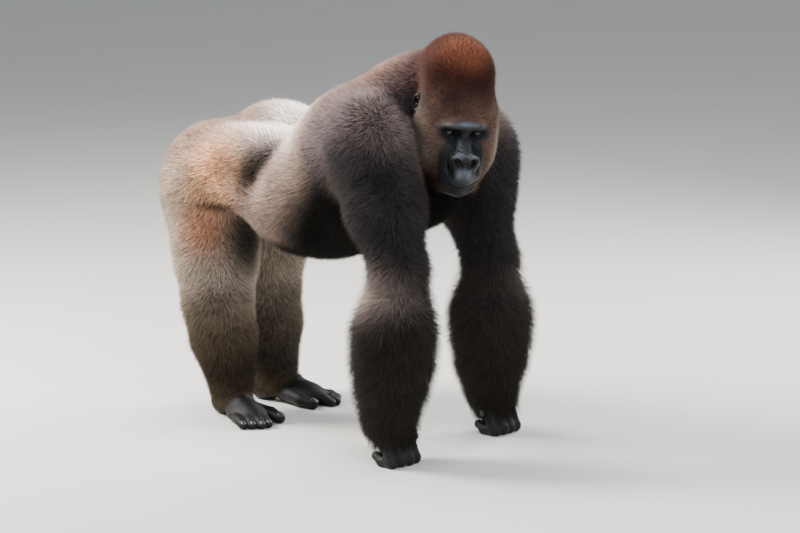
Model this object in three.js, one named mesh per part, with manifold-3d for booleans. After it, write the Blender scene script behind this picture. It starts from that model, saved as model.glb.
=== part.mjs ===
// A male gorilla standing on the soles of its feet and the knuckles of its hands, at life size in
// millimetres. +X is the way its body faces, +Y is its left and +Z is up. The origin is on the ground,
// under the middle of the body. The animal is one field of flesh, made of blended lobes, out to the tips
// of its coat. It is meshed piece by piece, and thin flat cuts part it into head, neck, torso and limbs.
import * as THREE from "three";
import { SimplifyModifier } from "three/addons/modifiers/SimplifyModifier.js";
import { mergeVertices } from "three/addons/utils/BufferGeometryUtils.js";
import Module from "manifold-3d";

const wasm = await Module();
wasm.setup();

const point = (x, y, z) => new THREE.Vector3(x, y, z);
const between = (a, b, share) => a.clone().lerp(b, share);

// Driving dimensions
const GAP = 0.4; // between two pieces that meet
const EYE_RADIUS = 12;
const EYE_SPACING = 76;
const EAR = [20, 15, 32]; // half sizes of an ear and of the bowl in it
const BOWL = [13, 14, 21];
const FINGER_SPACING = 29;
const TOE_SPACING = 24;
const FOOT_LENGTH = 300;
const HEAD_PLACE = point(467, -12, 919);
const HEAD_TURN = { yaw: -34, pitch: 14, roll: 4 }; // degrees: to its right, nose down, left ear down
const EYE_PLACE = [87, EYE_SPACING / 2, -2]; // on the head: forward, to the side and up
const EAR_PLACE = [-24, 103, 32];
const BOWL_PLACE = [-13, 117, 36];
const WRIST_HEIGHT = 126; // of the cuts between forearms and hands
const ANKLE_HEIGHT = 92;

// Colours
const COAT = { color: 0x4a4038, roughness: 0.9 };
const SKIN = { color: 0x26262b, roughness: 0.55 };
const NAIL = { color: 0x2b2724, roughness: 0.4 };
const EYE = { color: 0x1b0f08, roughness: 0.1 };

// The joints, from shoulder to wrist and from hip to ankle. side is -1 on the right and 1 on the left.
const SIDES = { right: -1, left: 1 };
const JOINTS = {
  right: {
    shoulder: point(325, -190, 845),
    elbow: point(462, -230, 537),
    wrist: point(434, -236, 140),
    hip: point(-385, -105, 640),
    knee: point(-318, -160, 335),
    ankle: point(-292, -130, 88),
    toesOut: 16,
  },
  left: {
    shoulder: point(300, 190, 845),
    elbow: point(380, 230, 500),
    wrist: point(384, 236, 140),
    hip: point(-385, 105, 640),
    knee: point(-398, 113, 335),
    ankle: point(-350, 104, 88),
    toesOut: 16,
  },
};

// Flesh: lobes that melt into each other over a distance of their own, and hollows carved out of them.
class Flesh {
  lobes = [];

  add(measure, blend, frame, sign) {
    const into = frame ? frame.clone().invert() : new THREE.Matrix4();
    this.lobes.push({ measure, blend, sign, m: into.elements });
  }

  ball(centre, [rx, ry, rz], blend, frame, sign = 1) {
    const measure = (x, y, z) => {
      const [px, py, pz] = [(x - centre.x) / rx, (y - centre.y) / ry, (z - centre.z) / rz];
      const near = Math.sqrt(px * px + py * py + pz * pz);
      const slope = Math.sqrt((px / rx) ** 2 + (py / ry) ** 2 + (pz / rz) ** 2);
      return slope > 1e-9 ? (near * (near - 1)) / slope : -Math.min(rx, ry, rz);
    };
    this.add(measure, blend, frame, sign);
  }

  limb(from, r0, to, r1, blend, frame, sign = 1) {
    const d = to.clone().sub(from);
    const length2 = d.lengthSq();
    const measure = (x, y, z) => {
      const [px, py, pz] = [x - from.x, y - from.y, z - from.z];
      const t = Math.min(1, Math.max(0, (px * d.x + py * d.y + pz * d.z) / length2));
      const [qx, qy, qz] = [px - t * d.x, py - t * d.y, pz - t * d.z];
      return Math.sqrt(qx * qx + qy * qy + qz * qz) - (r0 + t * (r1 - r0));
    };
    this.add(measure, blend, frame, sign);
  }

  // Distance to the surface, under zero inside.
  at(x, y, z) {
    let field = 1e3;
    for (const { measure, blend, sign, m } of this.lobes) {
      const d = measure(
        m[0] * x + m[4] * y + m[8] * z + m[12],
        m[1] * x + m[5] * y + m[9] * z + m[13],
        m[2] * x + m[6] * y + m[10] * z + m[14],
      );
      const other = sign * d;
      const share = Math.min(1, Math.max(0, 0.5 + (sign * (other - field)) / (2 * blend)));
      field = other + (field - other) * share - sign * blend * share * (1 - share);
    }
    return field;
  }
}

// Torso: rump, loin, belly, rib cage, withers and chest.
function addTorso(flesh) {
  const ball = (x, y, z, radii, blend) => flesh.ball(point(x, y, z), radii, blend);
  ball(-388, 0, 685, [185, 175, 165], 60);
  for (const side of [-1, 1]) {
    ball(-433, side * 92, 650, [144, 113, 180], 60);
    ball(-318, side * 120, 722, [88, 88, 90], 40);
    ball(-222, side * 128, 672, [74, 62, 66], 50);
  }
  ball(-262, -88, 770, [170, 82, 84], 40);
  ball(-300, 92, 814, [168, 82, 86], 40);
  ball(-200, 0, 712, [230, 146, 126], 50);
  ball(-20, 0, 656, [210, 226, 182], 24);
  for (const side of [-1, 1]) ball(-42, side * 105, 622, [130, 105, 118], 30);
  for (const side of [-1, 1]) {
    flesh.limb(point(-110, side * 140, 614), 66, point(-266, side * 170, 664), 34, 36);
  }
  ball(128, 0, 748, [240, 236, 214], 60);
  ball(150, 0, 845, [215, 175, 108], 60);
  ball(320, 0, 772, [140, 168, 176], 60);
  for (const side of [-1, 1]) ball(205, side * 118, 838, [165, 108, 150], 70);
}

function addNeck(flesh) {
  flesh.limb(point(160, 0, 838), 165, point(265, 4, 925), 145, 60);
  flesh.ball(point(345, 8, 970), [125, 86, 134], 50);
  flesh.ball(point(390, -2, 870), [90, 90, 110], 50);
}

// The frame of the head, whose origin lies between the eyes' level and the ears'.
function headFrame() {
  const turn = ["yaw", "pitch", "roll"].map((k) => THREE.MathUtils.degToRad(HEAD_TURN[k]));
  const euler = new THREE.Euler(-turn[2], turn[1], turn[0], "ZYX");
  return new THREE.Matrix4().makeRotationFromEuler(euler).setPosition(HEAD_PLACE);
}
const HEAD = headFrame();

function addHead(flesh) {
  const ball = (x, y, z, radii, blend, sign) => flesh.ball(point(x, y, z), radii, blend, HEAD, sign);
  const limb = (from, r0, to, r1, blend) => flesh.limb(point(...from), r0, point(...to), r1, blend, HEAD);
  ball(0, 0, 32, [105, 107, 92], 30);
  ball(-28, 0, 116, [102, 101, 107], 40);
  ball(-90, 0, 116, [84, 84, 92], 40);
  ball(52, 0, 65, [50, 74, 62], 40);
  for (const side of [-1, 1]) {
    ball(12, side * 80, -45, [75, 36, 98], 40);
    ball(70, side * 64, -30, [32, 28, 34], 20);
    ball(58, side * 52, -92, [48, 36, 64], 36);
    limb([80, side * 64, 10], 11, [102, side * 34, 26], 18, 14);
    limb([102, side * 34, 26], 17, [105, 0, 20], 15, 12);
  }
  ball(86, 0, -95, [66, 56, 66], 26);
  limb([92, 0, 4], 17, [134, 0, -52], 19, 14);
  ball(35, 0, -145, [82, 70, 48], 36);
  for (const side of [-1, 1]) limb([124, 0, -115], 28, [96, side * 38, -116], 26, 14);
  for (const side of [-1, 1]) limb([113, 0, -156], 23, [90, side * 40, -154], 25, 3.5);
  for (const side of [-1, 1]) {
    ball(140, side * 21, -72, [20, 19, 23], 9);
    ball(110, side * 38, -4, [22, 25, 12], 9, -1);
    ball(-22, side * 127, 34, [34, 27, 42], 16, -1);
  }
}

function addArm(flesh, side, { shoulder, elbow, wrist }) {
  const upper = between(shoulder, elbow, 0.5);
  flesh.ball(shoulder.clone().add(point(-20, -side * 5, 0)), [130, 100, 150], 80);
  if (side > 0) flesh.ball(shoulder.clone().add(point(48, 56, -65)), [105, 95, 140], 60);
  flesh.limb(shoulder, 108, upper, 114, 60);
  flesh.limb(upper, 112, elbow, 82, 30);
  const forearm = (share) => between(elbow, wrist, share);
  flesh.limb(elbow, 84, forearm(0.44), 113, 40);
  flesh.limb(forearm(0.44), 120, forearm(0.62), 118, 30);
  flesh.limb(forearm(0.64), 115, forearm(0.84), 98, 20);
  flesh.limb(forearm(0.84), 97, forearm(1.04), 72, 20);
}

// A place by the hand: x forward of the wrist, y away from the body's middle and z above the ground.
const byHand = (side, { wrist }) => (x, y, z) => point(wrist.x + x, wrist.y + side * y, z);

// A hand stands on the backs of its fingers' middle bones, with the fingertips tucked under.
function addHand(flesh, side, joints) {
  const from = byHand(side, joints);
  flesh.ball(from(10, 0, 105), [40, 62, 62], 20);
  for (const { y, knuckle, bend, tip } of fingers(from)) {
    flesh.limb(from(24, y * 0.95, 72), 19, knuckle, 17, 8);
    flesh.limb(knuckle, 17, bend, 15.5, 6);
    flesh.limb(bend, 15, tip, 12, 5);
  }
  flesh.limb(from(0, -52, 128), 16, from(20, -72, 66), 12, 10);
}

function fingers(from) {
  return [-1.5, -0.5, 0.5, 1.5].map((place) => {
    const y = place * FINGER_SPACING;
    const longer = 6 - 4 * Math.abs(place + 0.2);
    return { y, knuckle: from(50 + longer, y, 17), bend: from(12, y, 14.5), tip: from(-10, y, 27) };
  });
}

function addLeg(flesh, side, { hip, knee, ankle }) {
  flesh.limb(hip, 150, between(hip, knee, 0.6), 122, 60);
  flesh.limb(between(hip, knee, 0.5), 120, knee, 101, 40);
  flesh.limb(knee, 101, between(knee, ankle, 0.4), 97, 40);
  flesh.limb(between(knee, ankle, 0.4), 97, ankle, 72, 30);
}

// A place by the foot: x along it from the ankle, y away from the body's middle and z above the ground.
function byFoot(side, { ankle, toesOut }) {
  const angle = THREE.MathUtils.degToRad(toesOut);
  const [sin, cos] = [Math.sin(angle), Math.cos(angle)];
  return (x, y, z) => point(ankle.x + x * cos - y * sin, ankle.y + side * (x * sin + y * cos), z);
}

function addFoot(flesh, side, joints) {
  const from = byFoot(side, joints);
  flesh.ball(from(-35, 0, 36), [50, 40, 42], 20);
  flesh.limb(from(0, 0, 62), 44, from(110, 4, 30), 30, 20);
  flesh.ball(from(105, 8, 24), [70, 48, 30], 20);
  flesh.limb(from(40, -22, 30), 24, from(120, -62, 22), 19, 14);
  const [big, ...small] = toes(from);
  flesh.limb(big.root, 18, big.tip, 16, 6);
  for (const { root, bend, tip } of small) {
    flesh.limb(root, 14, bend, 13, 7);
    flesh.limb(bend, 13, tip, 12, 4);
  }
}

function toes(from) {
  const small = [0, 1, 2, 3].map((i) => {
    const y = i * TOE_SPACING - 14;
    const reach = FOOT_LENGTH - 97 - 12 * Math.abs(i - 0.7);
    return { root: from(125, y * 0.9, 22), bend: from(reach - 22, y, 20), tip: from(reach, y, 11) };
  });
  return [{ root: from(120, -62, 22), tip: from(162, -68, 15.5) }, ...small];
}

function whole() {
  const flesh = new Flesh();
  addTorso(flesh);
  addNeck(flesh);
  for (const [name, side] of Object.entries(SIDES)) {
    addArm(flesh, side, JOINTS[name]);
    addLeg(flesh, side, JOINTS[name]);
    addHand(flesh, side, JOINTS[name]);
    addFoot(flesh, side, JOINTS[name]);
  }
  addHead(flesh);
  return flesh;
}

// The six tetrahedra that fill a cell of a grid. A corner's bits say where it is: 1 along x, 2 along y
// and 4 along z.
const TETRAHEDRA = [[0, 1, 3, 7], [0, 3, 2, 7], [0, 2, 6, 7], [0, 6, 4, 7], [0, 4, 5, 7], [0, 5, 1, 7]];

// The surface of the flesh between two corners of a box, by marching through tetrahedra.
function march(flesh, low, high, step) {
  const [nx, ny, nz] = ["x", "y", "z"].map((k) => Math.ceil((high[k] - low[k]) / step) + 1);
  const layer = nx * ny;
  const total = nx * ny * nz;
  const cell = (n) => [n % nx, Math.floor(n / nx) % ny, Math.floor(n / nx / ny)];
  const place = (n) => cell(n).map((v, axis) => low.getComponent(axis) + v * step);
  const field = new Float64Array(total).fill(1);
  for (let n = 0; n < total; n++) {
    const [i, j, k] = cell(n);
    const onRim = i * j * k === 0 || i === nx - 1 || j === ny - 1 || k === nz - 1;
    if (!onRim) field[n] = flesh.at(...place(n)) || 1e-4;
  }

  const positions = [];
  const known = new Map();
  const crossing = (a, b) => {
    const [from, to] = a < b ? [a, b] : [b, a];
    const key = from * total + to;
    if (!known.has(key)) {
      const t = field[from] / (field[from] - field[to]);
      const [p, q] = [place(from), place(to)];
      known.set(key, positions.length / 3);
      positions.push(...p.map((v, axis) => v + t * (q[axis] - v)));
    }
    return known.get(key);
  };

  const triangles = [];
  for (let n = 0; n + layer + nx + 1 < total; n++) {
    if (n % nx === nx - 1 || Math.floor(n / nx) % ny === ny - 1) continue;
    const corner = (bits) => n + (bits & 1) + (bits & 2 ? nx : 0) + (bits & 4 ? layer : 0);
    const first = field[n] < 0;
    if (![1, 2, 3, 4, 5, 6, 7].some((bits) => field[corner(bits)] < 0 !== first)) continue;
    for (const tetrahedron of TETRAHEDRA) {
      const [a, b, c, d] = tetrahedron.map(corner);
      const inside = [a, b, c, d].map((v) => field[v] < 0);
      const many = inside.filter(Boolean).length;
      // each order of the corners below is an even turn of the first, so that all faces point outwards
      if (many === 1 || many === 3) {
        const at = inside.indexOf(many === 1);
        const [p, q, r, s] = [[a, b, c, d], [b, a, d, c], [c, d, a, b], [d, c, b, a]][at];
        const face = [crossing(p, q), crossing(p, r), crossing(p, s)];
        triangles.push(...(many === 1 ? face : face.reverse()));
      } else if (many === 2) {
        const other = [1, 2, 3].find((v) => inside[v] === inside[0]);
        const [p, q, r, s] = { 1: [a, b, c, d], 2: [a, c, d, b], 3: [a, d, b, c] }[other];
        const ring = [crossing(p, r), crossing(p, s), crossing(q, s), crossing(q, r)];
        if (!inside[0]) ring.reverse();
        triangles.push(ring[0], ring[1], ring[2], ring[0], ring[2], ring[3]);
      }
    }
  }
  const geometry = new THREE.BufferGeometry();
  geometry.setAttribute("position", new THREE.BufferAttribute(new Float32Array(positions), 3));
  return geometry.setIndex(triangles);
}

const simplifier = new SimplifyModifier();

// The same surface, thinned out to a number of triangles.
async function surface(flesh, low, high, step, triangles) {
  const dense = march(flesh, low, high, step);
  const spare = dense.getAttribute("position").count - triangles / 2;
  return solid(await simplifier.modify(dense, spare));
}

// three.js geometry to a solid for cutting, and back.
function solid(geometry) {
  const bare = new THREE.BufferGeometry();
  bare.setAttribute("position", geometry.getAttribute("position"));
  const { attributes, index } = mergeVertices(bare.setIndex(geometry.index), 1e-6);
  const triVerts = new Uint32Array(index.array);
  return new wasm.Manifold(new wasm.Mesh({ numProp: 3, vertProperties: attributes.position.array, triVerts }));
}

function shape(cut) {
  const { numProp, vertProperties, triVerts } = cut.getMesh();
  const positions = Float32Array.from({ length: (vertProperties.length / numProp) * 3 }, (_, i) =>
    vertProperties[Math.floor(i / 3) * numProp + (i % 3)]);
  const geometry = new THREE.BufferGeometry();
  geometry.setAttribute("position", new THREE.BufferAttribute(positions, 3));
  return geometry.setIndex(new THREE.BufferAttribute(triVerts, 1));
}

// All that lies beyond some planes, each given by a point of it and the way it faces. grow moves them back.
function beyond(planes, grow) {
  const blocks = planes.map(([at, facing]) => {
    const way = facing.clone().normalize();
    const block = new THREE.BoxGeometry(3000, 3000, 3000).translate(0, 0, 1500 - grow);
    block.applyQuaternion(new THREE.Quaternion().setFromUnitVectors(point(0, 0, 1), way));
    return solid(block.translate(at.x, at.y, at.z));
  });
  return wasm.Manifold.intersection(blocks);
}

// The planes that part the animal. A limb lies beyond all of its own.
const turned = ([at, facing]) => [at, facing.clone().negate()];
const planeOnHead = (place, facing) => [place.applyMatrix4(HEAD), facing.transformDirection(HEAD)];
const FLOOR = [point(0, 0, -GAP / 2), point(0, 0, 1)];
const HEAD_PLANES = [
  planeOnHead(point(-43, 0, 0), point(0.957, 0, 0.29)),
  planeOnHead(point(0, -128, 0), point(0, 1, 0)),
  planeOnHead(point(0, 0, -192), point(0, 0, 1)),
];
const NECK_BASE = [point(327, 0, 925), point(0.73, 0, 0.69)];
const FOREARM_SPACE = [[point(150, 0, 515), point(0, 0, -1)], [point(150, 0, 0), point(1, 0, 0)]];

function armPlanes(side, { shoulder, elbow }) {
  const top = shoulder.clone().add(point(-195, 0, 85));
  const down = elbow.clone().add(point(-150, 0, 60)).sub(top);
  return [[point(0, side * 128, 0), point(0, side, 0)], [top, point(-down.z, 0, down.x)]];
}

function legPlanes(side) {
  return [
    [point(0, 0, 505), point(0, side * 0.52, -0.854)],
    [point(-205, 0, 0), point(-1, 0, 0)],
    [point(0, 0, 0), point(0, side, 0)],
  ];
}

const flesh = whole();
const model = new THREE.Group();

function add(name, cut, material) {
  const mesh = new THREE.Mesh(shape(cut), new THREE.MeshStandardMaterial({ metalness: 0, ...material }));
  mesh.name = name;
  model.add(mesh);
}

// The flesh that lies beyond some planes, in a box about a point, with the other limbs taken away.
async function piece(at, reach, step, triangles, planes, away = []) {
  const whole = await surface(flesh, at.clone().sub(reach), at.clone().add(reach), step, triangles);
  let cut = whole.intersect(beyond(planes, -GAP / 2));
  for (const others of away) cut = cut.subtract(beyond(others, GAP / 2));
  return cut.decompose().sort((a, b) => b.volume() - a.volume())[0];
}

// A rounded solid with three half sizes.
function pebble(frame, [x, y, z], grow = 0, facets = 6) {
  const ball = new THREE.SphereGeometry(1, facets, facets / 2).scale(x + grow, y + grow, z + grow);
  return solid(ball.applyMatrix4(frame));
}

function nailFrame(at, along, facing) {
  const z = facing.clone().normalize();
  const x = along.clone().projectOnPlane(z).normalize();
  return new THREE.Matrix4().makeBasis(x, z.clone().cross(x), z).setPosition(at);
}

function handNails(side, joints) {
  const from = byHand(side, joints);
  const nails = fingers(from).map(({ bend, tip }) => {
    const along = tip.clone().sub(bend);
    const facing = point(-along.z, 0, along.x).normalize();
    return nailFrame(tip.clone().addScaledVector(facing, 11), along, facing);
  });
  const thumb = nailFrame(from(31, -73, 68), point(0.3, 0, -0.95), point(0.95, 0, 0.3));
  return [thumb, ...nails].map((frame) => ({ frame, size: [8, 8, 2.4] }));
}

function footNails(side, joints) {
  return toes(byFoot(side, joints)).map(({ root, tip }, i) => {
    const along = tip.clone().sub(root).setZ(0).normalize();
    const facing = point(along.x * 0.5, along.y * 0.5, 0.87);
    const at = tip.clone().addScaledVector(facing, i ? 11 : 15);
    return { frame: nailFrame(at, along.setZ(-0.6), facing), size: i ? [8, 7.5, 2.4] : [11, 11, 2.6] };
  });
}

// Head, with eyes and ears let into it.
const limbs = Object.entries(SIDES).flatMap(([name, side]) =>
  [armPlanes(side, JOINTS[name]), legPlanes(side)]);
const sockets = [];
for (const [name, side] of Object.entries(SIDES)) {
  const onHead = ([x, y, z]) => new THREE.Matrix4().makeTranslation(x, side * y, z).premultiply(HEAD);
  const round = [EYE_RADIUS, EYE_RADIUS, EYE_RADIUS];
  add(`eye_${name}`, pebble(onHead(EYE_PLACE), round, 0, 12), EYE);
  const bowl = pebble(onHead(BOWL_PLACE), BOWL, 0, 10);
  add(`ear_${name}`, pebble(onHead(EAR_PLACE), EAR, 0, 12).subtract(bowl), SKIN);
  sockets.push(pebble(onHead(EYE_PLACE), round, GAP, 12), pebble(onHead(EAR_PLACE), EAR, GAP, 12));
}
const socketed = (cut) => sockets.reduce((rest, socket) => rest.subtract(socket), cut);
const head = await piece(HEAD_PLACE, point(210, 210, 250), 5.5, 2300, HEAD_PLANES);
add("head", socketed(head), COAT);

const aside = [HEAD_PLANES, ...limbs, FOREARM_SPACE];
const neck = await piece(point(330, 0, 920), point(310, 270, 300), 12, 1400, [NECK_BASE], aside);
add("neck", socketed(neck), COAT);
const torso = await piece(point(-30, 0, 810), point(660, 340, 380), 14, 2700, [turned(NECK_BASE)], aside);
add("torso", torso, COAT);

// A hand or a foot, with its nails let into it.
function addNailed(name, whole, nails, nameOf) {
  nails.forEach(({ frame, size }, i) => add(nameOf(i), pebble(frame, size), NAIL));
  const bedded = nails.reduce((rest, { frame, size }) => rest.subtract(pebble(frame, size, GAP)), whole);
  add(name, bedded, SKIN);
}

for (const [name, side] of Object.entries(SIDES)) {
  const joints = JOINTS[name];
  const { shoulder, elbow, wrist, hip, knee, ankle } = joints;
  const level = (at, z = at.z) => [at.clone().setZ(z), point(0, 0, 1)];
  const [elbowLevel, wristLevel] = [level(elbow), level(wrist, WRIST_HEIGHT)];
  const [kneeLevel, ankleLevel] = [level(knee), level(ankle, ANKLE_HEIGHT)];

  const upperArm = [...armPlanes(side, joints), elbowLevel];
  const armAt = between(shoulder, elbow, 0.4);
  add(`upper_arm_${name}`, await piece(armAt, point(290, 200, 340), 11, 1000, upperArm, [HEAD_PLANES]), COAT);
  const forearm = [turned(elbowLevel), wristLevel];
  add(`forearm_${name}`, await piece(between(elbow, wrist, 0.5), point(190, 170, 250), 10, 560, forearm), COAT);
  const hand = await piece(wrist.clone().setZ(75), point(120, 120, 100), 5, 400, [turned(wristLevel), FLOOR]);
  const fingerName = (i) => (i ? `nail_finger_${i}_${name}` : `nail_thumb_${name}`);
  addNailed(`hand_${name}`, hand, handNails(side, joints), fingerName);

  const thigh = [...legPlanes(side), kneeLevel];
  add(`thigh_${name}`, await piece(between(hip, knee, 0.5), point(270, 230, 260), 12, 640, thigh), COAT);
  const shank = [turned(kneeLevel), ankleLevel, ...legPlanes(side).slice(1)];
  add(`shank_${name}`, await piece(between(knee, ankle, 0.5), point(200, 180, 190), 9, 440, shank), COAT);
  const footAt = point(ankle.x + 80, ankle.y, 50);
  const foot = await piece(footAt, point(220, 180, 80), 6, 400, [turned(ankleLevel), FLOOR]);
  addNailed(`foot_${name}`, foot, footNails(side, joints), (i) => `nail_toe_${i + 1}_${name}`);
}

export default model;
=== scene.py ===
"""A silverback gorilla at life size: one skin with its folds, eyes, nails and a coat of tufts, in a studio.

The flesh is worked out in millimetres, as a field of blended lobes, and every Blender mesh is in metres."""
import math
from itertools import product

import bmesh
import bpy
import numpy as np
from bpy.props import FloatProperty, FloatVectorProperty, IntProperty, PointerProperty
from mathutils import Euler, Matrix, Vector


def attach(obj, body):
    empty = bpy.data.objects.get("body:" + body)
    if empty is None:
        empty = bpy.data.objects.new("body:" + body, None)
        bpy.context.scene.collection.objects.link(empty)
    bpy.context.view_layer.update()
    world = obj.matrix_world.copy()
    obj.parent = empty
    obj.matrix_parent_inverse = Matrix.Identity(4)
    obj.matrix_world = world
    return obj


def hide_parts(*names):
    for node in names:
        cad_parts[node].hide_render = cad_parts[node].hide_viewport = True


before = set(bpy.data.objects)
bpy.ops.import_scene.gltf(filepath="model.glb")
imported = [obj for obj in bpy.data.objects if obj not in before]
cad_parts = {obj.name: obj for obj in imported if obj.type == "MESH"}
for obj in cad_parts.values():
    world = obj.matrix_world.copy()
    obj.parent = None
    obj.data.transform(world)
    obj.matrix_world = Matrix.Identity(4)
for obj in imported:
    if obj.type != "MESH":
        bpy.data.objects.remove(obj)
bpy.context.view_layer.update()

bl_info = {
    "name": "Silverback gorilla",
    "version": (1, 0, 0),
    "blender": (4, 5, 0),
    "location": "3D View > Sidebar > Gorilla",
    "description": "Builds a life-size silverback gorilla with its coat, and the studio it stands in",
    "category": "Object",
}

MM = 0.001
SIDES = {"right": -1, "left": 1}


def srgb(red, green, blue):
    """A colour given from 0 to 255 as it looks, as the linear one that shaders use."""
    parts = [channel / 255 for channel in (red, green, blue)]
    return tuple(part / 12.92 if part < 0.04045 else ((part + 0.055) / 1.055) ** 2.4 for part in parts)


def shade(name, description, red, green, blue):
    """A setting for a colour."""
    return FloatVectorProperty(
        name=name, description=description, subtype="COLOR", size=3, min=0, max=1,
        default=srgb(red, green, blue),
    )


def length(name, description, default):
    """A setting for a length in metres."""
    return FloatProperty(
        name=name, description=description, subtype="DISTANCE", unit="LENGTH", min=0, default=default
    )


def watts(name, description, default):
    """A setting for the power of a lamp in watts."""
    return FloatProperty(name=name, description=description, subtype="POWER", min=0, default=default)


def angle(name, description, degrees):
    """A setting for an angle."""
    return FloatProperty(name=name, description=description, subtype="ANGLE", default=math.radians(degrees))


# ---------------------------------------------------------------- settings


class GorillaColours(bpy.types.PropertyGroup):
    """The colours of the coat, the bare skin, the eyes and the nails."""

    crown: shade("Crown", "Chestnut hair of the crown", 56, 28, 20)
    crown_top: shade("Crown top", "Orange hair at the front of the crown", 140, 84, 60)
    temple: shade("Temple", "Dark grizzled hair round the ears", 52, 44, 42)
    cheek: shade("Cheek", "Grey-brown hair of the cheeks", 148, 134, 120)
    face_edge: shade("Face edge", "Brown hair round the bare face", 128, 100, 86)
    throat: shade("Throat", "Dark hair under the jaw", 20, 17, 14)
    nape: shade("Nape", "Grizzled hair of the nape", 88, 72, 72)
    withers: shade("Withers", "Paler hair along the top of the nape and shoulders", 138, 102, 86)
    shoulder: shade("Shoulder", "Grey-brown hair of the shoulders", 96, 86, 88)
    upper_arm: shade("Upper arm", "Dark hair of the upper arms", 58, 54, 55)
    forearm: shade("Forearm", "Long black-brown hair of the forearms", 42, 38, 34)
    elbow: shade("Elbow", "Paler hair behind the elbows", 176, 158, 150)
    # Silver hair of the back, partly a painted highlight where the light falls on it
    saddle: shade("Saddle", "Silver hair of the back", 255, 244, 236)
    rump: shade("Rump", "Grey hair of the rump", 114, 90, 78)
    # Golden hair of the hips, partly a painted highlight where the light falls on them
    hip: shade("Hip", "Golden hair at the side of the hips", 255, 202, 158)
    # Painted shade for the hollow between the ribs and the hips
    hollow: shade("Hollow", "Darker hair between the ribs and the hips", 48, 39, 36)
    flank: shade("Flank", "Tan-grey hair of the flanks", 146, 126, 115)
    # Blackish hair of belly and chest, also laid on as painted shade under the body, at the fronts of the
    # thighs and in their folds
    belly: shade("Belly", "Blackish hair of the belly and chest", 14, 13, 10)
    groin: shade("Groin", "Reddish hair at the front of the thighs", 208, 148, 114)
    thigh: shade("Thigh", "Grey-brown hair of the thighs", 184, 168, 152)
    shank: shade("Shank", "Brown hair of the lower legs", 90, 78, 62)
    ankle: shade("Ankle", "Dark brown hair above the feet", 40, 34, 25)
    bare: shade("Bare skin", "Blackish skin of the face, hands and feet", 14, 15, 17)
    iris: shade("Iris", "Reddish brown of the eyes", 84, 36, 18)
    nail: shade("Nail", "Dark horn of the nails", 48, 42, 40)


class GorillaCoat(bpy.types.PropertyGroup):
    """How dense and how thick the coat is."""

    spacing: length("Spacing", "Distance between the roots of two tufts on the body", 0.0025)
    head_spacing: length("Head spacing", "Distance between the roots of two tufts on the head", 0.0017)
    width: length("Width", "Width of a tuft at its root", 0.0016)
    unevenness: FloatProperty(
        name="Unevenness", description="How much one tuft differs in length from the next",
        subtype="FACTOR", default=0.35,
    )
    seed: IntProperty(name="Seed", description="Start of the random numbers", default=7)


class GorillaStage(bpy.types.PropertyGroup):
    """The floor, the lamps and the camera."""

    floor: shade("Floor", "Plain pale floor", 214, 213, 210)
    sky: FloatProperty(name="Sky", description="Strength of the light from all round", default=0.5)
    key: watts("Key", "Power of the large lamp", 490)
    top: watts("Top", "Power of the lamp above the back", 160)
    fill: watts("Fill", "Power of the lamp by the camera", 170)
    rim: watts("Rim", "Power of the lamp behind", 150)
    distance: length("Distance", "From the camera to the animal", 8.5)
    azimuth: angle("Azimuth", "Way round the animal", 44.4)
    elevation: angle("Elevation", "Height above the horizon", 9.2)


# ---------------------------------------------------------------- flesh

# What the hair of each region is like: how deep the coat lies over the skin in millimetres, and how far it
# stands up in degrees
DEPTHS = {
    "head": 11, "neck": 20, "torso": 20, "upper_arm": 26, "forearm": 40, "hand": 1, "thigh": 20, "shank": 20,
    "foot": 1, "ear": 0,
}
LIFTS = {
    "head": 64, "neck": 60, "torso": 64, "upper_arm": 56, "forearm": 46, "hand": 20, "thigh": 60, "shank": 56,
    "foot": 20, "ear": 30,
}
REGIONS = list(DEPTHS)

HEAD_PLACE = (467, -12, 919)  # the middle of the head, between the ears
HEAD_TURN = (-4, 14, -34)  # degrees about X, Y and Z: left ear down, nose down, to its right
EYE_PLACE = (87, 38, -2)  # on the head: forward, to the side and up
EYE_RADIUS = 12
EAR_PLACE = (-24, 103, 32)
EAR_SIZE = (20, 15, 32)  # half sizes
FINGER_SPACING = 29
TOE_SPACING = 24
FOOT_LENGTH = 300
JOINTS = {
    "right": {
        "shoulder": (325, -190, 845), "elbow": (462, -230, 537), "wrist": (434, -236, 140),
        "hip": (-385, -105, 640), "knee": (-318, -160, 335), "ankle": (-292, -130, 88),
    },
    "left": {
        "shoulder": (300, 190, 845), "elbow": (380, 230, 500), "wrist": (384, 236, 140),
        "hip": (-385, 105, 640), "knee": (-398, 113, 335), "ankle": (-350, 104, 88),
    },
}
TOES_OUT = math.radians(16)
LAID_FROM = (105, 0, -70)  # the place on the nose that the hair of the head lies away from


def point(x, y, z):
    """A place or a direction, for sums."""
    return np.array((x, y, z), float)


def share_of(regions, name):
    """How much of each place belongs to one region."""
    return regions[:, REGIONS.index(name)]


def between(a, b, share):
    """What lies at a share of the way from a to b."""
    return np.asarray(a, float) + (np.asarray(b, float) - np.asarray(a, float)) * share


HEAD_AXES = np.array(Euler([math.radians(turn) for turn in HEAD_TURN], "XYZ").to_matrix())


def onto_head(spots):
    """Places of the animal as places of the head: forward, to its left and up from the head's middle."""
    return (np.asarray(spots, float) - np.array(HEAD_PLACE)) @ HEAD_AXES


def from_head(x, y, z):
    """A place of the head as a place of the animal."""
    return np.array(HEAD_PLACE) + HEAD_AXES @ point(x, y, z)


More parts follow.
